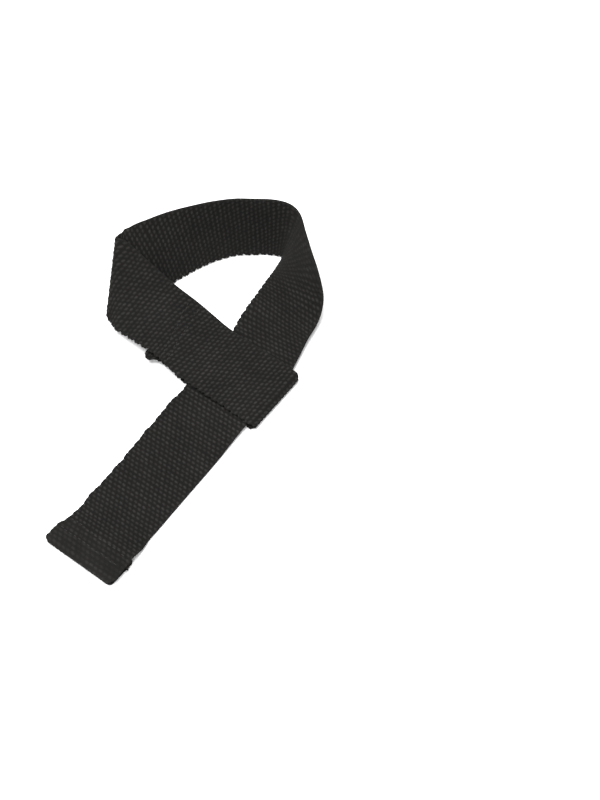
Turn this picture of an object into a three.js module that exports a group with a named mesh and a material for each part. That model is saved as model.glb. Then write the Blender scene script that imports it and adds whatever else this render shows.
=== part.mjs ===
// A weightlifting strap: one length of cotton webbing. Its tail lies flat and ends in a rolled hem, and the
// rest stands up as the wrist loop and comes back to a sewn eye that the tail runs through.
// Millimetres, +Z up. The tail and the eye lie on the floor and the wrist loop stands on its lower edge.
import * as THREE from 'three';

// Driving sizes
const WEBBING_WIDTH = 38;
const WEBBING_THICKNESS = 1.8;
const LAYER_GAP = 0.3;
const TAIL_LENGTH = 124.5;
const TAIL_HEADING = 54;
const HEM_DEPTH = 16.5;
const HEM_TUCK = 5.5;
const EYE_REACH = 24;
const EYE_HEADING = -37.5;
const FOLDBACK_LENGTH = 68;
const SIDE_FOLD_RADIUS = 2.2;
const STATION_STEP = 4;

// Sizes worked out from them
const LAYER = WEBBING_THICKNESS + LAYER_GAP;
const HALF_WIDTH = WEBBING_WIDTH / 2;
const HALF_THICKNESS = WEBBING_THICKNESS / 2;

// The hem's top layer, from its end to the flat tail. back: way from the hem's end, as a share of its depth.
// layer: layers of webbing underneath. left and right: how far each edge is pulled out, as a share of the width.
const HEM_TOP = [
  { back: 0.3, layer: 1.5, left: 0.035, right: 0.04 },
  { back: 0.58, layer: 1.9, left: 0.015, right: 0.04 },
  { back: 0.8, layer: 1.95, left: -0.02, right: 0.04 },
  { back: 1.05, layer: 1.8, left: -0.035, right: 0.03 },
  { back: 1.35, layer: 0.9, left: -0.03, right: 0.03 },
  { back: 1.85, layer: 0.2, left: 0.0, right: 0.0 },
  { back: 2.3, layer: 0, left: 0.0, right: 0.0 },
];

// The tail where it runs over the eye's lower layer. ahead: past the middle of the crossing, in widths.
// left: how far its left edge is pulled out, in widths.
const CROSSING = [
  { ahead: -2, layer: 0, left: 0 },
  { ahead: -1.15, layer: 0, left: 0.03 },
  { ahead: -0.85, layer: 0.5, left: 0.03 },
  { ahead: -0.58, layer: 1, left: 0.01 },
  { ahead: 0, layer: 1, left: 0 },
  { ahead: 0.35, layer: 1, left: 0 },
];

// The wrist loop, from where the tail leaves the eye round to the side fold. east and north: the place of the
// webbing's middle, in widths from the middle of the crossing. foot: the height of its lower edge, in widths.
// overEast, overNorth and overUp: the direction from the lower edge to the upper edge.
const LOOP = [
  { east: 0.3, north: 0.48, foot: 0.05, overEast: 0.8, overNorth: -0.6, overUp: 0.01 },
  { east: 0.46, north: 0.83, foot: 0.06, overEast: 0.84, overNorth: -0.53, overUp: 0.04 },
  { east: 0.62, north: 1.12, foot: 0.04, overEast: 0.82, overNorth: -0.52, overUp: 0.1 },
  { east: 0.71, north: 1.34, foot: 0.02, overEast: 0.76, overNorth: -0.51, overUp: 0.3 },
  { east: 0.73, north: 1.53, foot: 0.01, overEast: 0.61, overNorth: -0.48, overUp: 0.6 },
  { east: 0.72, north: 1.71, foot: 0.01, overEast: 0.45, overNorth: -0.41, overUp: 0.79 },
  { east: 0.7, north: 1.89, foot: 0.01, overEast: 0.32, overNorth: -0.25, overUp: 0.91 },
  { east: 0.65, north: 2.06, foot: 0.01, overEast: 0.25, overNorth: 0.0, overUp: 0.97 },
  { east: 0.53, north: 2.15, foot: 0.01, overEast: 0.19, overNorth: 0.13, overUp: 0.97 },
  { east: 0.3, north: 2.19, foot: 0.01, overEast: 0.12, overNorth: 0.18, overUp: 0.98 },
  { east: 0.0, north: 2.19, foot: 0.01, overEast: 0.04, overNorth: 0.2, overUp: 0.98 },
  { east: -0.32, north: 2.14, foot: 0.01, overEast: -0.03, overNorth: 0.24, overUp: 0.97 },
  { east: -0.62, north: 2.04, foot: 0.01, overEast: -0.1, overNorth: 0.31, overUp: 0.95 },
  { east: -0.93, north: 1.91, foot: 0.01, overEast: -0.18, overNorth: 0.41, overUp: 0.89 },
  { east: -1.21, north: 1.75, foot: 0.02, overEast: -0.18, overNorth: 0.54, overUp: 0.82 },
  { east: -1.48, north: 1.6, foot: 0.04, overEast: -0.08, overNorth: 0.73, overUp: 0.68 },
];

// The side fold, where the webbing bends over to the front: the middle of its crease, in widths from the middle
// of the crossing, the way the crease points, and the ways the webbing arrives and leaves, in degrees.
const SIDE_FOLD = {
  east: -1.77,
  north: 1.45,
  height: 0.37,
  crease: { heading: 82, rise: 32 },
  arriving: { heading: 205, rise: 0 },
  leaving: { heading: -36, rise: -7 },
  corner: 0.02,
};

// The front band, from the side fold down to the crossing, in the same terms as the loop.
const BAND = [
  { east: -1.49, north: 1.18, foot: 0.14, overEast: 0.24, overNorth: 0.9, overUp: 0.36 },
  { east: -1.2, north: 0.96, foot: 0.18, overEast: 0.3, overNorth: 0.93, overUp: 0.14 },
  { east: -0.88, north: 0.72, foot: 0.17, overEast: 0.36, overNorth: 0.93, overUp: 0.03 },
];

// The front band over the tail. ahead: past the middle of the crossing, in widths.
const FRONT = [
  { ahead: -0.62, layer: 2.1 },
  { ahead: 0, layer: 2 },
  { ahead: 0.5, layer: 2 },
];

// The fold-back from the eye's fold to its cut end. along: share of its length. layer: layers underneath.
const FOLDBACK = [
  { along: 0.1, layer: 0, left: 0 },
  { along: 0.35, layer: 0, left: 0 },
  { along: 0.65, layer: 0, left: -0.02 },
  { along: 0.78, layer: 0.6, left: -0.05 },
  { along: 0.9, layer: 1.6, left: -0.03 },
  { along: 0.93, layer: 1.8, left: 0.03 },
  { along: 1.0, layer: 2.1, left: 0.04 },
];

function heading(degrees, rise = 0) {
  const angle = THREE.MathUtils.degToRad(degrees);
  const lift = THREE.MathUtils.degToRad(rise);
  return new THREE.Vector3(Math.cos(angle) * Math.cos(lift), Math.sin(angle) * Math.cos(lift), Math.sin(lift));
}

function layerHeight(layer) {
  return HALF_THICKNESS + layer * LAYER;
}

// One place on the route: the webbing's middle, the direction across it and how far each edge is pulled out.
function place(centre, across, left = 0, right = 0) {
  return { centre, across: across.clone().normalize(), left: left * WEBBING_WIDTH, right: right * WEBBING_WIDTH };
}

// A point above a line on the floor through the crossing.
function above(direction, distance, height) {
  return direction.clone().multiplyScalar(distance).setZ(height);
}

// A half turn in the upright plane of a line, from one height to another, bulging towards bulge (+1 or -1).
// corner: how far both edges are drawn in where the bulge is furthest out, as a share of the width.
function halfTurn(direction, across, distance, fromHeight, toHeight, bulge, left, right, corner) {
  const radius = Math.abs(toHeight - fromHeight) / 2;
  const middle = (fromHeight + toHeight) / 2;
  const sign = Math.sign(toHeight - fromHeight);
  const places = [];
  for (let step = 0; step <= 6; step += 1) {
    const angle = (Math.PI * step) / 6;
    const out = distance + bulge * radius * Math.sin(angle);
    const height = middle - sign * radius * Math.cos(angle);
    const drawn = corner * (1 - Math.abs(Math.cos(angle)));
    places.push(place(above(direction, out, height), across, left - drawn, right - drawn));
  }
  return places;
}

// A bend about an oblique crease. The webbing slides along the crease as it turns round it.
function obliqueFold(fold, radius) {
  const crease = heading(fold.crease.heading, fold.crease.rise);
  const turned = [fold.arriving, fold.leaving].map((way) => heading(way.heading, way.rise));
  const lean = (turned[0].dot(crease) + turned[1].dot(crease)) / 2;
  const [start, end] = turned.map((way) => way.addScaledVector(crease, -way.dot(crease)).normalize());
  const outward = start.clone().sub(end).normalize();
  const forward = start.clone().add(end).normalize();
  const bend = start.angleTo(end);
  const middle = new THREE.Vector3(fold.east, fold.north, fold.height).multiplyScalar(WEBBING_WIDTH);
  const slide = (radius * lean) / Math.sqrt(1 - lean * lean);
  const places = [];
  for (let step = 0; step <= 6; step += 1) {
    const angle = bend * (step / 6 - 0.5);
    const centre = middle.clone()
      .addScaledVector(outward, radius * (Math.cos(angle) - 1))
      .addScaledVector(forward, radius * Math.sin(angle))
      .addScaledVector(crease, slide * angle);
    const drawn = fold.corner * Math.cos((angle * Math.PI) / bend);
    places.push(place(centre, crease, -drawn, -drawn));
  }
  return places;
}

function hemPlaces(direction, across) {
  const end = -TAIL_LENGTH;
  const innerRadius = LAYER / 2;
  const tuckHeight = layerHeight(1);
  const innerTurn = end + HEM_DEPTH - HALF_THICKNESS - innerRadius;
  const topHeight = layerHeight(1.3);
  const outerTurn = end + HALF_THICKNESS + (topHeight - layerHeight(0)) / 2;
  return [
    place(above(direction, end + HEM_DEPTH - HEM_TUCK, tuckHeight), across, 0, 0.07),
    ...halfTurn(direction, across, innerTurn, tuckHeight, layerHeight(0), 1, 0.0, 0.03, 0),
    place(above(direction, end + HEM_DEPTH / 2, layerHeight(0)), across, 0.03, 0.02),
    ...halfTurn(direction, across, outerTurn, layerHeight(0), topHeight, -1, 0.045, 0.01, 0.06),
    ...HEM_TOP.map((row) => place(
      above(direction, end + row.back * HEM_DEPTH, layerHeight(row.layer)), across, row.left, row.right)),
  ];
}

// A place on the loop, raised so that its lower edge is at the row's height.
function loopPlace(row) {
  const across = new THREE.Vector3(row.overEast, row.overNorth, row.overUp).normalize();
  const flatness = Math.hypot(across.x, across.y);
  const height = row.foot * WEBBING_WIDTH + HALF_WIDTH * across.z + HALF_THICKNESS * flatness;
  return place(new THREE.Vector3(row.east * WEBBING_WIDTH, row.north * WEBBING_WIDTH, height), across);
}

function routePlaces() {
  const tail = heading(TAIL_HEADING);
  const tailAcross = heading(TAIL_HEADING - 90);
  const front = heading(EYE_HEADING);
  const frontAcross = heading(EYE_HEADING + 90);
  const eyeTurn = EYE_REACH - HALF_THICKNESS - LAYER;
  return [
    ...hemPlaces(tail, tailAcross),
    ...CROSSING.map((row) => place(
      above(tail, row.ahead * WEBBING_WIDTH, layerHeight(row.layer)), tailAcross, row.left)),
    ...LOOP.map(loopPlace),
    ...obliqueFold(SIDE_FOLD, SIDE_FOLD_RADIUS),
    ...BAND.map(loopPlace),
    ...FRONT.map((row) => place(above(front, row.ahead * WEBBING_WIDTH, layerHeight(row.layer)), frontAcross)),
    ...halfTurn(front, frontAcross, eyeTurn, layerHeight(2), layerHeight(0), 1, 0, 0, 0.055),
    ...FOLDBACK.map((row) => place(
      above(front, eyeTurn - row.along * FOLDBACK_LENGTH, layerHeight(row.layer)), frontAcross, row.left, 0)),
  ];
}

// The slope of a value at a row, from the rows on each side. It is level where the value stops or turns back.
function slopeAt(before, here, after, gapBefore, gapAfter) {
  if ((here - before) * (after - here) <= 0) return 0;
  return (after - before) / (gapBefore + gapAfter);
}

// A smooth value between rows a and b, share of the way along.
function between(before, a, b, after, gaps, share) {
  const slopeA = slopeAt(before, a, b, gaps[0], gaps[1]);
  const slopeB = slopeAt(a, b, after, gaps[1], gaps[2]);
  const squared = share * share;
  const cubed = squared * share;
  return (2 * cubed - 3 * squared + 1) * a + (cubed - 2 * squared + share) * gaps[1] * slopeA
    + (3 * squared - 2 * cubed) * b + (cubed - squared) * gaps[1] * slopeB;
}

function rowValues(row) {
  return [...row.centre.toArray(), ...row.across.toArray(), row.left, row.right];
}

// Stations a few millimetres apart along the whole route.
function stations(places) {
  const rows = places.map(rowValues);
  const list = [];
  for (let index = 0; index + 1 < rows.length; index += 1) {
    const around = [index - 1, index, index + 1, index + 2].map((i) => Math.min(Math.max(i, 0), rows.length - 1));
    const centres = around.map((i) => places[i].centre);
    const gaps = [0, 1, 2].map((i) => centres[i].distanceTo(centres[i + 1]));
    const steps = Math.max(1, Math.round(gaps[1] / STATION_STEP));
    for (let step = 0; step < steps; step += 1) {
      const columns = rows[index].keys();
      list.push([...columns].map((column) => between(
        ...around.map((i) => rows[i][column]), gaps, step / steps)));
    }
  }
  list.push(rows[rows.length - 1]);
  return list.map((values) => ({
    centre: new THREE.Vector3(...values.slice(0, 3)),
    across: new THREE.Vector3(...values.slice(3, 6)).normalize(),
    left: values[6],
    right: values[7],
  }));
}

// The outline of the webbing's cross-section: shares of the half width and of the half thickness.
const SECTION = [
  { side: -1, face: 0 },
  { side: -0.97, face: 1 },
  { side: -0.5, face: 1 },
  { side: 0, face: 1 },
  { side: 0.5, face: 1 },
  { side: 0.97, face: 1 },
  { side: 1, face: 0 },
  { side: 0.97, face: -1 },
  { side: 0.5, face: -1 },
  { side: 0, face: -1 },
  { side: -0.5, face: -1 },
  { side: -0.97, face: -1 },
];

function webbing(list) {
  const positions = [];
  list.forEach((station, index) => {
    const before = list[Math.max(index - 1, 0)].centre;
    const after = list[Math.min(index + 1, list.length - 1)].centre;
    const travel = after.clone().sub(before).normalize();
    const face = station.across.clone().cross(travel);
    const squareness = face.length();
    face.normalize();
    SECTION.forEach((corner) => {
      const pulled = corner.side < 0 ? station.left : station.right;
      const reach = corner.side * (HALF_WIDTH + pulled) / squareness;
      positions.push(station.centre.clone()
        .addScaledVector(station.across, reach)
        .addScaledVector(face, corner.face * HALF_THICKNESS));
    });
  });
  const count = SECTION.length;
  const triangles = [];
  for (let index = 0; index + 1 < list.length; index += 1) {
    for (let corner = 0; corner < count; corner += 1) {
      const a = index * count + corner;
      const b = index * count + (corner + 1) % count;
      triangles.push(a, b, b + count, a, b + count, a + count);
    }
  }
  const last = (list.length - 1) * count;
  for (let corner = 1; corner + 1 < count; corner += 1) {
    triangles.push(0, corner + 1, corner);
    triangles.push(last, last + corner, last + corner + 1);
  }
  const geometry = new THREE.BufferGeometry();
  geometry.setFromPoints(positions);
  geometry.setIndex(triangles);
  return geometry;
}

function build() {
  const geometry = webbing(stations(routePlaces()));
  geometry.computeBoundingBox();
  const box = geometry.boundingBox;
  geometry.translate(-(box.min.x + box.max.x) / 2, -(box.min.y + box.max.y) / 2, -box.min.z);
  geometry.computeVertexNormals();
  const cloth = new THREE.MeshStandardMaterial({ name: 'black_cotton_webbing', color: 0x2b2a29, roughness: 0.95 });
  const strap = new THREE.Mesh(geometry, cloth);
  strap.name = 'webbing_strap';
  const group = new THREE.Group();
  group.add(strap);
  return group;
}

export default build();
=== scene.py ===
import math

import bpy
import numpy as np
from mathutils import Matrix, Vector


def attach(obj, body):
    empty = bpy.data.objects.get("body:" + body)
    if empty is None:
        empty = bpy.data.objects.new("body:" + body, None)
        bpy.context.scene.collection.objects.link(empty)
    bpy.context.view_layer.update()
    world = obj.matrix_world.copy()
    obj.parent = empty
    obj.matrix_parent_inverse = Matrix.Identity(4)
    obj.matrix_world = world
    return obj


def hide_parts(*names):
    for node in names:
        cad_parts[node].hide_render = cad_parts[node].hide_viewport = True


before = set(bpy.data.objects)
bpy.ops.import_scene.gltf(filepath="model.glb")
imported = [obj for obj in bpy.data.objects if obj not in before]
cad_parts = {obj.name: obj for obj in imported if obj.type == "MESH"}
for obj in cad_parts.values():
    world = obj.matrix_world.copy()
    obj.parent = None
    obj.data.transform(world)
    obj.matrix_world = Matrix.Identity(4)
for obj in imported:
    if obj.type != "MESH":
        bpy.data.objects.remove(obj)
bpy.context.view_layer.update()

# Sizes in metres and headings in degrees, the same as the model's.
MM = 0.001
WIDTH = 38 * MM
THICKNESS = 1.8 * MM
GAP = 0.3 * MM
TAIL_LENGTH = 124.5 * MM
TAIL_HEADING = 54
HEM_DEPTH = 16.5 * MM
HEM_TUCK = 5.5 * MM
EYE_REACH = 24 * MM
EYE_HEADING = -37.5
FOLDBACK_LENGTH = 68 * MM
SIDE_FOLD_RADIUS = 2.2 * MM
CROSSING_PLACE = np.array([23.33312, 11.54428, 0.0303]) * MM

LAYER = THICKNESS + GAP
HALF_WIDTH = WIDTH / 2
HALF_THICKNESS = THICKNESS / 2

# The hem's top layer: way back from the end in hem depths, layers underneath, left and right edge pulled
# out in widths.
HEM_TOP = (
    (0.3, 1.5, 0.035, 0.04),
    (0.58, 1.9, 0.015, 0.04),
    (0.8, 1.95, -0.02, 0.04),
    (1.05, 1.8, -0.035, 0.03),
    (1.35, 0.9, -0.03, 0.03),
    (1.85, 0.2, 0.0, 0.0),
    (2.3, 0.0, 0.0, 0.0),
)
# The tail over the eye's lower layer: way past the middle of the crossing in widths, layers underneath,
# left edge pulled out in widths.
CROSSING = (
    (-2, 0, 0),
    (-1.15, 0, 0.03),
    (-0.85, 0.5, 0.03),
    (-0.58, 1, 0.01),
    (0, 1, 0),
    (0.35, 1, 0),
)
# The wrist loop: middle east and north of the crossing and height of the lower edge, in widths, then the
# direction from the lower edge to the upper edge.
LOOP = (
    (0.3, 0.48, 0.05, 0.8, -0.6, 0.01),
    (0.46, 0.83, 0.06, 0.84, -0.53, 0.04),
    (0.62, 1.12, 0.04, 0.82, -0.52, 0.1),
    (0.71, 1.34, 0.02, 0.76, -0.51, 0.3),
    (0.73, 1.53, 0.01, 0.61, -0.48, 0.6),
    (0.72, 1.71, 0.01, 0.45, -0.41, 0.79),
    (0.7, 1.89, 0.01, 0.32, -0.25, 0.91),
    (0.65, 2.06, 0.01, 0.25, 0.0, 0.97),
    (0.53, 2.15, 0.01, 0.19, 0.13, 0.97),
    (0.3, 2.19, 0.01, 0.12, 0.18, 0.98),
    (0.0, 2.19, 0.01, 0.04, 0.2, 0.98),
    (-0.32, 2.14, 0.01, -0.03, 0.24, 0.97),
    (-0.62, 2.04, 0.01, -0.1, 0.31, 0.95),
    (-0.93, 1.91, 0.01, -0.18, 0.41, 0.89),
    (-1.21, 1.75, 0.02, -0.18, 0.54, 0.82),
    (-1.48, 1.6, 0.04, -0.08, 0.73, 0.68),
)
# The side fold: middle of its crease, in widths from the crossing, then the way the crease points and the
# ways the webbing arrives and leaves, as heading and rise in degrees.
SIDE_FOLD = {
    "middle": (-1.77, 1.45, 0.37),
    "crease": (82, 32),
    "arriving": (205, 0),
    "leaving": (-36, -7),
}
# How far the side fold's corners are drawn in, in widths.
SIDE_FOLD_CORNER = 0.02
# The front band down to the crossing, in the same terms as the loop.
BAND = (
    (-1.49, 1.18, 0.14, 0.24, 0.9, 0.36),
    (-1.2, 0.96, 0.18, 0.3, 0.93, 0.14),
    (-0.88, 0.72, 0.17, 0.36, 0.93, 0.03),
)
# The front band over the tail: way past the middle of the crossing in widths, layers underneath.
FRONT = ((-0.62, 2.1), (0, 2), (0.5, 2))
# The fold-back: share of its length, layers underneath, lower edge pulled out in widths.
FOLDBACK = (
    (0.1, 0, 0),
    (0.35, 0, 0),
    (0.65, 0, -0.02),
    (0.78, 0.6, -0.05),
    (0.9, 1.6, -0.03),
    (0.93, 1.8, 0.03),
    (1.0, 2.1, 0.04),
)
# Half turns and the side fold have this many steps.
TURN_STEPS = 6

# The weave: warp ends side by side and weft picks along the length. Past the tail the picks are a little
# wider apart, 191 on 430 mm.
WARP_PITCH = 1.285 * MM
WEFT_PITCH = 2.15 * MM
LOOP_WEFT_PITCH = 430 * MM / 191
PITCH_CHANGE = 150 * MM
# How far the picks run askew: way along the webbing in metres, then way along for each way across.
SKEW = ((0.15, -0.045), (0.195, 0.22), (0.25, -0.04), (0.3, 0.02), (0.36, 0.0))
# A knuckle is an oval with these half axes, the long one turned away from the webbing's length. Each one
# strays from its place by a share of the pitches.
KNUCKLE_LONG = 1.2 * MM
KNUCKLE_SHORT = 0.6 * MM
KNUCKLE_TURN = math.radians(74)
UNEVEN = 0.2
RELIEF = 0.32 * MM
# The distance between the mesh's stations, and between its points across as a share of that.
GRID = 0.36 * MM
ACROSS_SHARE = 0.9
# The selvedges are round, with points at these angles in degrees.
RIM = 0.75 * MM
RIM_ANGLES = (25, 48, 68, 90)
# The cut end's corners are rounded.
CUT_CORNER = 3.0 * MM
# Just before the side fold the upper edge stands out: how far, where past the loop's last place, how long.
EASE = 0.8 * MM
EASE_PLACE = 7.3 * MM
EASE_LENGTH = 2.8 * MM

# The lower selvedge has teeth and slow waves: way along the webbing in metres, then their size as a share.
# The upper one waves less. All fade out within a depth.
TOOTH = 1.0 * MM
TEETH = ((0, 0.35), (0.1, 0.35), (0.17, 0.6), (0.24, 1.0), (0.36, 1.3), (0.4, 0.8), (0.52, 0.7))
SLOW_WAVE = 0.35 * MM
SLOW_WAVES = ((0.02, 0), (0.04, 1), (0.14, 1), (0.17, 0.4))
UPPER_WAVE = 0.1 * MM
SELVEDGE_DEPTH = 1.6 * MM

# How boldly the weave stands out on the hem, by millimetres back from its end, and where the loop turns up,
# by way along the webbing in metres. Near the edges it gets fainter: from how far in, over what length and
# by what share.
HEM_BOLDNESS = ((0, 0.4), (3, 0.45), (5, 0.25), (9, 0.3), (10, 0.5), (14, 0.6), (17, 1.0))
TURN_BOLDNESS = ((0.203, 1.0), (0.215, 0.42), (0.233, 0.42), (0.243, 1.0))
UPPER_FADE = (1.5 * MM, 1.2 * MM, 0.75)
LOWER_FADE = (1.0 * MM, 0.8 * MM, 0.4)
# How much lighter the cotton is made where the weave is faded, by millimetres back from the hem's end.
FADED_TONE = ((0, 0.65), (2.5, 0.6), (4.5, 0.3), (16, 0.3), (20, 0.3))

# Two rows of stitches hold the hem, and two hold the fold-back: way back from the hem's end and from the
# cut end.
HEM_ROWS = (9.4 * MM, 15.0 * MM)
FOLDBACK_ROWS = (4.0 * MM, 9.0 * MM)
STITCH_PITCH = 2.55 * MM
STITCH_LENGTH = 2.0 * MM
STITCH_INSET = 1.8 * MM
THREAD_RADIUS = 0.2 * MM
# Each stitch from end to end: its height over the webbing in millimetres and its thickness as a share.
STITCH_LIFT = (-0.3, -0.06, 0.05, 0.05, -0.06, -0.3)
STITCH_TAPER = (0.7, 1, 1, 1, 1, 0.7)
# The stitches draw the webbing in.
DENT_DEPTH = 0.3 * MM
DENT_LENGTH = 0.7 * MM

# Loose fibres at the cut end: how many, their radii in millimetres from root to tip, and their lowest
# height.
FIBRE_COUNT = 60
FIBRE_RADII = (0.07, 0.07, 0.06, 0.05, 0.03)
FIBRE_FLOOR = 0.12 * MM

# The hem's turns lie within the first stretch of the webbing and the whole hem within the second. The
# front band's last stretch before the eye's turn reaches over the fold-back.
HEM_TURN_SPAN = 50 * MM
HEM_SPAN = 100 * MM
FRONT_SPAN = 90 * MM
# Where the webbing is cut into sheets, in metres along it.
CUTS = (0.137, 0.262, 0.388)

# Colours of the cotton, painted shade in the pits and a painted highlight on the knuckles, then of the
# thread and of the floor.
PIT_SHADE_COLOUR = (0.0079, 0.0077, 0.0073, 1)
KNUCKLE_HIGHLIGHT_COLOUR = (0.0201, 0.0194, 0.0183, 1)
THREAD_COLOUR = (0.0165, 0.016, 0.0152, 1)
PAPER_COLOUR = (0.9, 0.9, 0.9, 1)

# The camera looks at a point on the floor from the front. Angle in degrees, the rest in metres.
CAMERA_TARGET = (0.05333, 0.00054)
CAMERA_ELEVATION = 59
CAMERA_DISTANCE = 0.65
FLOOR_SIZE = 6.0


def unit(v):
    return v / np.maximum(np.linalg.norm(v, axis=-1, keepdims=True), 1e-12)


def from_table(values, rows):
    """The rows' second column where their first column has these values."""
    return np.interp(values, [row[0] for row in rows], [row[1] for row in rows])


def heading(degrees, rise=0):
    angle = math.radians(degrees)
    lift = math.radians(rise)
    level = math.cos(lift)
    return np.array([math.cos(angle) * level, math.sin(angle) * level, math.sin(lift)])


def layer_height(layer):
    return HALF_THICKNESS + layer * LAYER


def above(direction, distance, height):
    return direction * distance + np.array([0, 0, height])


def place(centre, across, left=0.0, right=0.0):
    across = np.asarray(across, float)
    return np.concatenate([centre, across / np.linalg.norm(across), [left * WIDTH, right * WIDTH]])


def half_turn(direction, across, distance, start, end, bulge, left, right, corner):
    radius = abs(end - start) / 2
    middle = (start + end) / 2
    sign = math.copysign(1, end - start)
    places = []
    for step in range(TURN_STEPS + 1):
        angle = math.pi * step / TURN_STEPS
        out = distance + bulge * radius * math.sin(angle)
        centre = above(direction, out, middle - sign * radius * math.cos(angle))
        drawn = corner * (1 - abs(math.cos(angle)))
        places.append(place(centre, across, left - drawn, right - drawn))
    return places


def oblique_fold(fold, radius, corner):
    """A bend about an oblique crease. The webbing slides along the crease as it turns round it."""
    crease = heading(*fold["crease"])
    arriving = heading(*fold["arriving"])
    leaving = heading(*fold["leaving"])
    lean = (arriving @ crease + leaving @ crease) / 2
    start = unit(arriving - crease * (arriving @ crease))
    end = unit(leaving - crease * (leaving @ crease))
    outward = unit(start - end)
    forward = unit(start + end)
    bend = math.acos(start @ end)
    middle = np.array(fold["middle"]) * WIDTH
    slide = radius * lean / math.sqrt(1 - lean * lean)
    places = []
    for step in range(TURN_STEPS + 1):
        angle = bend * (step / TURN_STEPS - 0.5)
        centre = middle + outward * radius * (math.cos(angle) - 1) + forward * radius * math.sin(angle)
        drawn = corner * math.cos(angle * math.pi / bend)
        places.append(place(centre + crease * slide * angle, crease, -drawn, -drawn))
    return places


def hem_places(direction, across):
    end = -TAIL_LENGTH
    tuck = layer_height(1)
    inner = end + HEM_DEPTH - HALF_THICKNESS - LAYER / 2
    top = layer_height(1.3)
    outer = end + HALF_THICKNESS + (top - layer_height(0)) / 2
    places = [place(above(direction, end + HEM_DEPTH - HEM_TUCK, tuck), across, 0, 0.07)]
    places += half_turn(direction, across, inner, tuck, layer_height(0), 1, 0.0, 0.03, 0)
    places.append(place(above(direction, end + HEM_DEPTH / 2, layer_height(0)), across, 0.03, 0.02))
    places += half_turn(direction, across, outer, layer_height(0), top, -1, 0.045, 0.01, 0.06)
    for back, layer, left, right in HEM_TOP:
        centre = above(direction, end + back * HEM_DEPTH, layer_height(layer))
        places.append(place(centre, across, left, right))
    return places


def loop_place(east, north, foot, *over):
    across = np.array(over) / np.linalg.norm(over)
    height = foot * WIDTH + HALF_WIDTH * across[2] + HALF_THICKNESS * math.hypot(across[0], across[1])
    return place(np.array([east * WIDTH, north * WIDTH, height]), across)


def route_places():
    tail = heading(TAIL_HEADING)
    tail_across = heading(TAIL_HEADING - 90)
    front = heading(EYE_HEADING)
    front_across = heading(EYE_HEADING + 90)
    turn = EYE_REACH - HALF_THICKNESS - LAYER
    places = hem_places(tail, tail_across)
    for ahead, layer, left in CROSSING:
        places.append(place(above(tail, ahead * WIDTH, layer_height(layer)), tail_across, left))
    places += [loop_place(*row) for row in LOOP]
    places += oblique_fold(SIDE_FOLD, SIDE_FOLD_RADIUS, SIDE_FOLD_CORNER)
    places += [loop_place(*row) for row in BAND]
    for ahead, layer in FRONT:
        places.append(place(above(front, ahead * WIDTH, layer_height(layer)), front_across))
    places += half_turn(front, front_across, turn, layer_height(2), layer_height(0), 1, 0, 0, 0.055)
    for along, layer, left in FOLDBACK:
        centre = above(front, turn - along * FOLDBACK_LENGTH, layer_height(layer))
        places.append(place(centre, front_across, left, 0))
    return np.array(places)


def slopes(rows, gaps):
    """Each row's slope from the rows on both sides, level where a value stops or turns back."""
    first = np.vstack([rows[:1], rows, rows[-1:]])
    lengths = np.concatenate([[0], gaps, [0]])
    before = rows - first[:-2]
    after = first[2:] - rows
    slope = (first[2:] - first[:-2]) / (lengths[:-1] + lengths[1:])[:, None]
    slope[before * after <= 0] = 0
    return slope


def route(step):
    """Stations the same way apart along the webbing: way, centre, across, left and right."""
    rows = route_places()
    gaps = np.linalg.norm(np.diff(rows[:, :3], axis=0), axis=1)
    slope = slopes(rows, gaps)
    fine = []
    for i, gap in enumerate(gaps):
        t = np.linspace(0, 1, max(4, int(gap / (0.25 * step))), endpoint=False)[:, None]
        fine.append(
            (2 * t**3 - 3 * t**2 + 1) * rows[i] + (t**3 - 2 * t**2 + t) * gap * slope[i]
            + (3 * t**2 - 2 * t**3) * rows[i + 1] + (t**3 - t**2) * gap * slope[i + 1]
        )
    fine = np.vstack(fine + [rows[-1:]])
    way = np.concatenate([[0], np.cumsum(np.linalg.norm(np.diff(fine[:, :3], axis=0), axis=1))])
    count = int(round(way[-1] / step)) + 1
    even = np.linspace(0, way[-1], count)
    out = np.stack([np.interp(even, way, fine[:, k]) for k in range(8)], axis=1)
    across = out[:, 3:6] / np.linalg.norm(out[:, 3:6], axis=1)[:, None]
    return even, out[:, :3] + CROSSING_PLACE, across, out[:, 6], out[:, 7]


def near_edge(inward, start, length, share=1.0):
    """0 further in from an edge than start, and rising to a share within a length from there."""
    return share * np.clip((start - inward) / length, 0, 1)


def scatter(m, n, phase):
    """Two numbers from 0 to 1 for each knuckle, the same on every run."""
    key = np.sin(m * 12.9898 + n * 78.233 + phase * 3.1) * 43758.5453
    key -= np.floor(key)
    other = key * 7.31 - np.floor(key * 7.31)
    return key, other


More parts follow.
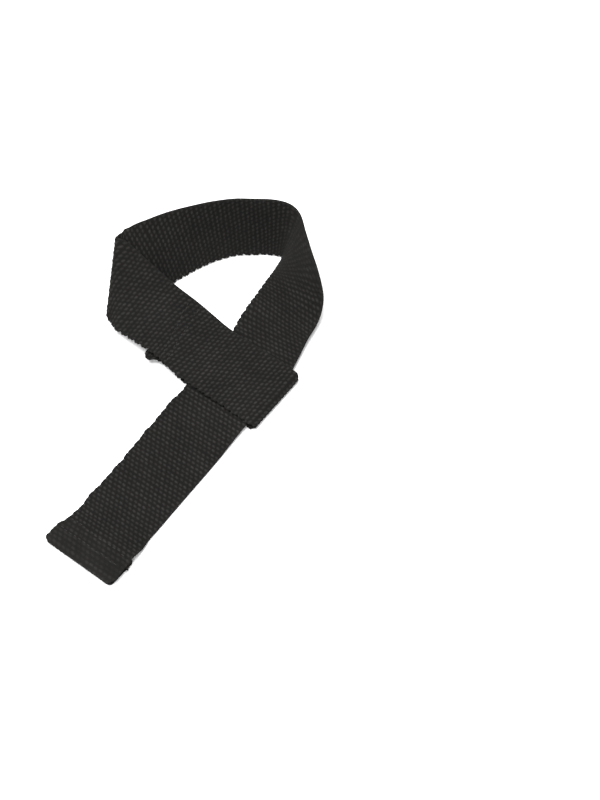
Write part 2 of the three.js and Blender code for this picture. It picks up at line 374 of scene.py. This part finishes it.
class Band:
    """The whole webbing as a ring of points at each station: its top face, then its underside."""

    def __init__(self):
        self.way, centre, across, left, right = route(GRID)
        travel = unit(np.gradient(centre, axis=0))
        lean = np.sum(across * travel, axis=1)
        square = np.sqrt(np.maximum(1 - lean**2, 0.05))
        flat_count = int(round((WIDTH - 2 * RIM) / (ACROSS_SHARE * GRID)))
        flat = np.linspace(-(HALF_WIDTH - RIM), HALF_WIDTH - RIM, flat_count)
        turn = np.radians(np.array(RIM_ANGLES))
        rim = HALF_WIDTH - RIM + RIM * np.sin(turn)
        self.sides = np.concatenate([-rim[::-1], flat, rim])
        depth = np.concatenate([np.cos(turn)[::-1], np.ones(flat_count), np.cos(turn)])
        corner = np.maximum(0, 1 - (self.way[-1] - self.way) / CUT_CORNER)
        rounded = CUT_CORNER * (1 - np.sqrt(1 - corner**2))
        loop_end = CROSSING_PLACE + loop_place(*LOOP[-1])[:3]
        near = np.argmin(np.linalg.norm(centre - loop_end, axis=1))
        past = self.way - self.way[near] - EASE_PLACE
        left = left - rounded
        right = right - rounded + EASE * np.exp(-((past / EASE_LENGTH) ** 2))
        share = self.sides / HALF_WIDTH
        pull = np.where(share < 0, left[:, None], right[:, None]) * share
        reach = (self.sides[None, :] + pull) / square[:, None]
        self.along = self.way[:, None] + reach * lean[:, None]
        self.middle = centre[:, None, :] + across[:, None, :] * reach[..., None]
        edge_shift = self.selvedge()
        self.middle += across[:, None, :] * edge_shift[..., None]
        d_way = np.gradient(self.middle, axis=0)
        d_side = np.gradient(self.middle, axis=1)
        self.face = unit(np.cross(d_side, d_way))
        self.depth = depth

    def selvedge(self):
        """Teeth of weft on the lower edge, and a nearly even upper edge."""
        way = self.along
        sides = self.sides[None, :]
        teeth = TOOTH * from_table(self.way, TEETH)[:, None]
        tooth = np.sqrt(np.sin(math.pi * way / (2 * WEFT_PITCH) + 0.6) ** 2 + 0.06) - 0.65
        tooth += 0.25 * np.sin(2 * math.pi * way / WEFT_PITCH)
        wave = np.sin(way / (1.9 * MM) + 2 * np.sin(way / (13 * MM))) * np.sin(way / (7.1 * MM) + 0.4)
        slow = SLOW_WAVE * wave * from_table(self.way, SLOW_WAVES)[:, None]
        lower = near_edge(HALF_WIDTH + sides, SELVEDGE_DEPTH, SELVEDGE_DEPTH) ** 1.5
        upper = near_edge(HALF_WIDTH - sides, SELVEDGE_DEPTH, SELVEDGE_DEPTH) ** 1.5
        even = UPPER_WAVE * np.sin(way / (9.3 * MM) + 1.1) * np.sin(way / (23.4 * MM))
        return -lower * (teeth * tooth + slow) + upper * even

    def weave(self, phase):
        """Height of the weave on one face, 0 in pits to 1 on knuckles, and each knuckle's number."""
        x = self.sides[None, :] / WARP_PITCH + 0 * self.along
        askew = self.along + from_table(self.way, SKEW)[:, None] * self.sides[None, :]
        past = np.maximum(askew - PITCH_CHANGE, 0)
        y = np.minimum(askew, PITCH_CHANGE) / WEFT_PITCH + past / LOOP_WEFT_PITCH + phase
        a = np.floor((x + y) / 2)
        b = np.floor((x - y) / 2)
        height = np.zeros(x.shape)
        number = np.zeros(x.shape)
        cos = math.cos(KNUCKLE_TURN)
        sin = math.sin(KNUCKLE_TURN)
        hand = 1 if phase == 0 else -1
        for i in (0, 1):
            for j in (0, 1):
                m = a + i + b + j
                n = a + i - b - j
                key, other = scatter(m, n, phase)
                dx = (x - m + UNEVEN * (key - 0.5)) * WARP_PITCH
                dy = (y - n + UNEVEN * (other - 0.5)) * WEFT_PITCH
                long_way = dy * cos - hand * dx * sin
                short_way = hand * dx * cos + dy * sin
                d = (long_way / KNUCKLE_LONG) ** 2 + (short_way / KNUCKLE_SHORT) ** 2
                rise = np.clip(1 - d, 0, 1) ** 0.75 * (0.78 + 0.22 * other)
                number = np.where(rise > height, key, number)
                height = np.maximum(height, rise)
        return height * self.boldness, number

    def hem_way(self):
        """Each station's way back from the hem's end, on its top and its bottom layer, far off elsewhere."""
        middle = self.middle[:, len(self.sides) // 2, :] - CROSSING_PLACE
        back = middle @ heading(TAIL_HEADING) + TAIL_LENGTH
        first = int(np.argmin(back[: int(HEM_TURN_SPAN / GRID)]))
        top = back.copy()
        top[:first] = 1.0
        bottom = np.ones(len(back))
        inner = int(np.argmax(back[:first]))
        bottom[inner:first] = back[inner:first]
        return top, bottom

    def sewn_rows(self):
        """Every row of stitches: its station, and whether it shows on the top face."""
        rows = []
        top, bottom = self.hem_way()
        for row in HEM_ROWS:
            rows.append((int(np.argmin(np.abs(top[: int(HEM_SPAN / GRID)] - row))), True))
            rows.append((int(np.argmin(np.abs(bottom - row))), True))
        middle = self.middle[:, len(self.sides) // 2, :] - CROSSING_PLACE
        ahead = middle @ heading(EYE_HEADING)
        turn = int(np.argmax(ahead))
        start = turn - int(FRONT_SPAN / GRID)
        for row in FOLDBACK_ROWS:
            station = len(self.way) - 1 - int(round(row / GRID))
            rows.append((station, True))
            rows.append((start + int(np.argmin(np.abs(ahead[start:turn] - ahead[station]))), False))
        return rows

    def dents(self):
        """How far the stitches draw the webbing in."""
        depth = np.zeros(len(self.way))
        for station, _ in self.sewn_rows():
            depth += np.exp(-(((self.way - self.way[station]) / DENT_LENGTH) ** 2))
        return DENT_DEPTH * depth[:, None]

    def bold(self):
        """How boldly the weave stands out: softly on the hem, where the loop turns up and at the edges."""
        hem = from_table(np.minimum(*self.hem_way()) / MM, HEM_BOLDNESS)
        turning = from_table(self.way, TURN_BOLDNESS)
        upper = near_edge(HALF_WIDTH - self.sides, *UPPER_FADE)
        lower = near_edge(HALF_WIDTH + self.sides, *LOWER_FADE)
        return (hem * turning)[:, None] * (1 - upper - lower)[None, :]

    def surfaces(self):
        self.boldness = self.bold()
        top, top_number = self.weave(0)
        under, under_number = self.weave(1)
        dent = self.dents()
        level = HALF_THICKNESS - RELIEF + 0.5 * RELIEF * (1 - self.boldness)
        up = (level + RELIEF * top - dent) * self.depth
        down = (level + RELIEF * under - dent) * self.depth
        self.top = self.middle + self.face * up[..., None]
        self.under = self.middle - self.face * down[..., None]
        back = np.minimum(*self.hem_way())
        faded_tone = from_table(back / MM, FADED_TONE)[:, None] * (1 - self.boldness)
        # The weave's height and the faded tone become painted shade in the pits and a painted highlight on
        # the knuckles.
        self.painted_weave_shade = (top + faded_tone, under + faded_tone)
        self.number = (top_number, under_number)


band = Band()
band.surfaces()


def ring_arrays():
    """The points, painted weave shade and number of the whole band with each station as one closed ring."""
    top = band.top
    under = band.under[:, ::-1][:, 1:-1]
    points = np.concatenate([top, under], axis=1)
    painted_weave_shade = np.concatenate([band.painted_weave_shade[0], band.painted_weave_shade[1][:, ::-1][:, 1:-1]], axis=1)
    number = np.concatenate([band.number[0], band.number[1][:, ::-1][:, 1:-1]], axis=1)
    across = np.broadcast_to(band.sides[None, :], band.along.shape)
    u = np.concatenate([across, across[:, ::-1][:, 1:-1]], axis=1)
    v = np.concatenate([band.along, band.along[:, ::-1][:, 1:-1]], axis=1)
    return points, painted_weave_shade, number, u, v


def ring_normals(points):
    d_way = np.gradient(points, axis=0)
    d_side = np.roll(points, -1, axis=1) - np.roll(points, 1, axis=1)
    return unit(np.cross(d_side, d_way))


def webbing_piece(name, first, last, data, normals, material):
    """One stretch of the webbing as a closed mesh."""
    points, painted_weave_shade, number, u, v = data
    rows = last - first + 1
    ring = points.shape[1]
    co = points[first : last + 1].reshape(-1, 3)
    i, j = np.meshgrid(np.arange(rows - 1), np.arange(ring), indexing="ij")
    a = i * ring + j
    b = i * ring + (j + 1) % ring
    quads = np.stack([a, b, b + ring, a + ring], axis=-1).reshape(-1, 4)
    caps = []
    half = len(band.sides)
    for base, reverse in ((0, False), ((rows - 1) * ring, True)):
        for k in range(half - 1):
            over = [base + k, base + k + 1, base + (ring - k - 1) % ring, base + (ring - k) % ring]
            over = list(dict.fromkeys(over))
            if len(over) >= 3:
                caps.append(over[::-1] if reverse else over)
    mesh = bpy.data.meshes.new(name)
    mesh.from_pydata(co.tolist(), [], quads.tolist() + caps)
    mesh.validate()
    for label, values in (("painted_weave_shade", painted_weave_shade), ("number", number)):
        layer = mesh.attributes.new(label, "FLOAT", "POINT")
        layer.data.foreach_set("value", values[first : last + 1].ravel().astype(np.float32))
    uv = mesh.uv_layers.new(name="weave")
    index = np.zeros(len(mesh.loops), np.int32)
    mesh.loops.foreach_get("vertex_index", index)
    flat_u = u[first : last + 1].ravel()[index]
    flat_v = v[first : last + 1].ravel()[index]
    uv.data.foreach_set("uv", np.stack([flat_u, flat_v], axis=1).astype(np.float32).ravel())
    mesh.polygons.foreach_set("use_smooth", [True] * len(mesh.polygons))
    mesh.normals_split_custom_set_from_vertices(normals[first : last + 1].reshape(-1, 3).tolist())
    mesh.materials.append(material)
    piece = bpy.data.objects.new(name, mesh)
    bpy.context.scene.collection.objects.link(piece)
    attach(piece, "root")
    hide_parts("webbing_strap")
    return piece


def cotton_material():
    """Black cotton: dull and a little brown, with painted shade in the weave's pits and a painted highlight
    where the yarn stands proud.
    """
    material = bpy.data.materials.new("black_cotton_webbing")
    material.use_nodes = True
    nodes = material.node_tree.nodes
    links = material.node_tree.links
    nodes.clear()
    output = nodes.new("ShaderNodeOutputMaterial")
    shader = nodes.new("ShaderNodeBsdfPrincipled")
    links.new(shader.outputs["BSDF"], output.inputs["Surface"])
    shader.inputs["Roughness"].default_value = 0.9
    shader.inputs["Specular IOR Level"].default_value = 0.03
    shader.inputs["Sheen Weight"].default_value = 0.018
    shader.inputs["Sheen Roughness"].default_value = 0.6
    shader.inputs["Sheen Tint"].default_value = (0.8, 0.78, 0.75, 1)

    painted_weave_shade = nodes.new("ShaderNodeAttribute")
    painted_weave_shade.attribute_name = "painted_weave_shade"
    number = nodes.new("ShaderNodeAttribute")
    number.attribute_name = "number"
    # The ramp paints shade into the weave's pits and a highlight onto its knuckles.
    ramp = nodes.new("ShaderNodeValToRGB")
    ramp.color_ramp.elements[0].color = PIT_SHADE_COLOUR
    ramp.color_ramp.elements[1].color = KNUCKLE_HIGHLIGHT_COLOUR
    links.new(painted_weave_shade.outputs["Fac"], ramp.inputs["Fac"])

    tone = nodes.new("ShaderNodeMapRange")
    tone.inputs["To Min"].default_value = 0.8
    tone.inputs["To Max"].default_value = 1.18
    links.new(number.outputs["Fac"], tone.inputs["Value"])
    coords = nodes.new("ShaderNodeTexCoord")
    cloud = nodes.new("ShaderNodeTexNoise")
    cloud.inputs["Scale"].default_value = 55
    cloud.inputs["Detail"].default_value = 3
    links.new(coords.outputs["Object"], cloud.inputs["Vector"])
    wash = nodes.new("ShaderNodeMapRange")
    wash.inputs["From Min"].default_value = 0.3
    wash.inputs["From Max"].default_value = 0.7
    wash.inputs["To Min"].default_value = 0.88
    wash.inputs["To Max"].default_value = 1.12
    links.new(cloud.outputs["Fac"], wash.inputs["Value"])
    both = nodes.new("ShaderNodeMath")
    both.operation = "MULTIPLY"
    links.new(tone.outputs["Result"], both.inputs[0])
    links.new(wash.outputs["Result"], both.inputs[1])
    colour = nodes.new("ShaderNodeVectorMath")
    colour.operation = "SCALE"
    links.new(ramp.outputs["Color"], colour.inputs[0])
    links.new(both.outputs["Value"], colour.inputs["Scale"])
    links.new(colour.outputs["Vector"], shader.inputs["Base Color"])

    fibre = nodes.new("ShaderNodeTexNoise")
    fibre.inputs["Scale"].default_value = 4200
    fibre.inputs["Detail"].default_value = 2
    links.new(coords.outputs["Object"], fibre.inputs["Vector"])
    bump = nodes.new("ShaderNodeBump")
    bump.inputs["Strength"].default_value = 0.5
    bump.inputs["Distance"].default_value = 0.00012
    links.new(fibre.outputs["Fac"], bump.inputs["Height"])
    links.new(bump.outputs["Normal"], shader.inputs["Normal"])
    return material


cotton = cotton_material()
data = ring_arrays()
normals = ring_normals(data[0])
cuts = [0] + [int(cut / GRID) for cut in CUTS] + [len(band.way) - 1]
names = ("tail_webbing", "loop_right_webbing", "loop_left_webbing", "front_band_webbing")
for name, first, last in zip(names, cuts[:-1], cuts[1:]):
    piece = webbing_piece(name, first, last, data, normals, cotton)


def thread_material():
    """Black sewing thread, a little smoother and lighter than the webbing."""
    material = bpy.data.materials.new("black_thread")
    material.use_nodes = True
    shader = material.node_tree.nodes["Principled BSDF"]
    shader.inputs["Base Color"].default_value = THREAD_COLOUR
    shader.inputs["Roughness"].default_value = 0.6
    shader.inputs["Specular IOR Level"].default_value = 0.2
    return material


def tube(points, radii, sides=6):
    """Points and faces of a closed tube along points."""
    points = np.array(points)
    travel = unit(np.gradient(points, axis=0))
    lead = np.array([0, 0, 1.0]) if abs(travel[0][2]) < 0.8 else np.array([1.0, 0, 0])
    first = unit(np.cross(travel, lead))
    second = np.cross(travel, first)
    turn = np.arange(sides) * 2 * math.pi / sides
    ring = np.cos(turn)[None, :, None] * first[:, None, :]
    ring = ring + np.sin(turn)[None, :, None] * second[:, None, :]
    shell = points[:, None, :] + ring * np.array(radii)[:, None, None]
    faces = []
    for i in range(len(points) - 1):
        for j in range(sides):
            k = (j + 1) % sides
            faces.append((i * sides + j, i * sides + k, (i + 1) * sides + k, (i + 1) * sides + j))
    last = (len(points) - 1) * sides
    faces.append(tuple(range(sides))[::-1])
    faces.append(tuple(range(last, last + sides)))
    return shell.reshape(-1, 3), faces


def joined_piece(name, tubes, material):
    points = []
    faces = []
    start = 0
    for shell, quads in tubes:
        points.append(shell)
        faces += [tuple(start + k for k in face) for face in quads]
        start += len(shell)
    mesh = bpy.data.meshes.new(name)
    mesh.from_pydata(np.vstack(points).tolist(), [], faces)
    mesh.polygons.foreach_set("use_smooth", [True] * len(mesh.polygons))
    mesh.materials.append(material)
    piece = bpy.data.objects.new(name, mesh)
    bpy.context.scene.collection.objects.link(piece)
    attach(piece, "root")
    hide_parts("webbing_strap")
    return piece


def stitch_row(station, upper, random):
    """One row of stitches across the webbing at a station, on its top face or its underside."""
    surface = band.top if upper else band.under
    outward = band.face if upper else -band.face
    radii = THREAD_RADIUS * np.array(STITCH_TAPER)
    tubes = []
    side = -HALF_WIDTH + STITCH_INSET
    while side < HALF_WIDTH - STITCH_INSET - STITCH_LENGTH:
        drift = random.uniform(-0.35, 0.35) * MM
        row = station + int(round(drift / GRID))
        length = STITCH_LENGTH + random.uniform(-0.3, 0.2) * MM
        ends = side + np.linspace(0, length, len(STITCH_LIFT))
        columns = np.clip(np.searchsorted(band.sides, ends), 1, len(band.sides) - 2)
        before = band.sides[columns - 1]
        share = ((ends - before) / (band.sides[columns] - before))[:, None]
        points = surface[row, columns - 1] * (1 - share) + surface[row, columns] * share
        lift = np.array(STITCH_LIFT)[:, None] * MM + random.uniform(-0.14, 0.06) * MM
        tubes.append(tube(points + outward[row, columns] * lift, radii))
        side += STITCH_PITCH
    return tubes


def stitches():
    random = np.random.default_rng(7)
    hem = []
    eye = []
    for station, upper in band.sewn_rows():
        row = stitch_row(station, upper, random)
        (hem if band.way[station] < HEM_SPAN else eye).extend(row)
    return hem, eye


def cut_ends():
    """Loose fibres at the fold-back's cut end."""
    random = np.random.default_rng(11)
    tubes = []
    end = len(band.way) - 1
    # The way out of the cut end, taken near its lower corner.
    travel = unit(band.middle[end, 10] - band.middle[end - 3, 10])
    for _ in range(FIBRE_COUNT):
        column = int(random.integers(2, len(band.sides) - 2))
        share = random.uniform(-0.8, 0.8)
        root = band.middle[end - 1, column] + band.face[end - 1, column] * HALF_THICKNESS * share
        way = unit(travel + random.normal(0, 0.35, 3))
        length = random.uniform(0.5, 1.5) * MM
        bend = random.normal(0, 0.25, 3)
        points = [root + (way * t + bend * t * t) * length for t in np.linspace(0, 1, 5)]
        points = [np.array([x, y, max(z, FIBRE_FLOOR)]) for x, y, z in points]
        tubes.append(tube(points, np.array(FIBRE_RADII) * MM, 4))
    return tubes


thread = thread_material()
hem_stitches, eye_stitches = stitches()
joined_piece("hem_stitches", hem_stitches, thread)
joined_piece("eye_stitches", eye_stitches, thread)
joined_piece("cut_end_fibres", cut_ends(), cotton)


def camera():
    lens = bpy.data.cameras.new("camera")
    lens.lens = 58.5
    lens.sensor_width = 36
    lens.clip_start = 0.01
    eye = bpy.data.objects.new("camera", lens)
    elevation = math.radians(CAMERA_ELEVATION)
    behind = CAMERA_TARGET[1] - CAMERA_DISTANCE * math.cos(elevation)
    eye.location = (CAMERA_TARGET[0], behind, CAMERA_DISTANCE * math.sin(elevation))
    eye.rotation_euler = (math.pi / 2 - elevation, 0, 0)
    bpy.context.scene.collection.objects.link(eye)
    bpy.context.scene.camera = eye


def floor():
    mesh = bpy.data.meshes.new("floor")
    corners = [(x * FLOOR_SIZE, y * FLOOR_SIZE, 0) for x, y in ((-1, -1), (1, -1), (1, 1), (-1, 1))]
    mesh.from_pydata(corners, [], [(0, 1, 2, 3)])
    ground = bpy.data.objects.new("floor", mesh)
    ground.location.z = -0.0001
    paper = bpy.data.materials.new("white_paper")
    paper.use_nodes = True
    shader = paper.node_tree.nodes["Principled BSDF"]
    shader.inputs["Base Color"].default_value = PAPER_COLOUR
    shader.inputs["Roughness"].default_value = 0.9
    mesh.materials.append(paper)
    bpy.context.scene.collection.objects.link(ground)


def lamp(name, spot, target, size, watts):
    light = bpy.data.lights.new(name, "AREA")
    light.shape = "DISK"
    light.size = size
    light.energy = watts
    lit = bpy.data.objects.new(name, light)
    lit.location = spot
    lit.rotation_euler = (Vector(target) - Vector(spot)).to_track_quat("-Z", "Y").to_euler()
    bpy.context.scene.collection.objects.link(lit)


camera()
floor()
lamp("key", spot=(-0.15, 0.0, 1.3), target=(0, 0, 0), size=1.0, watts=33)
lamp("fill", spot=(-0.1, -1.0, 1.0), target=(0, -0.1, 0), size=1.2, watts=7)
world = bpy.data.worlds.new("studio")
world.use_nodes = True
world.node_tree.nodes["Background"].inputs["Color"].default_value = (1, 1, 1, 1)
world.node_tree.nodes["Background"].inputs["Strength"].default_value = 0.72
bpy.context.scene.world = world
bpy.context.scene.view_settings.view_transform = "Standard"
bpy.context.scene.view_settings.look = "None"
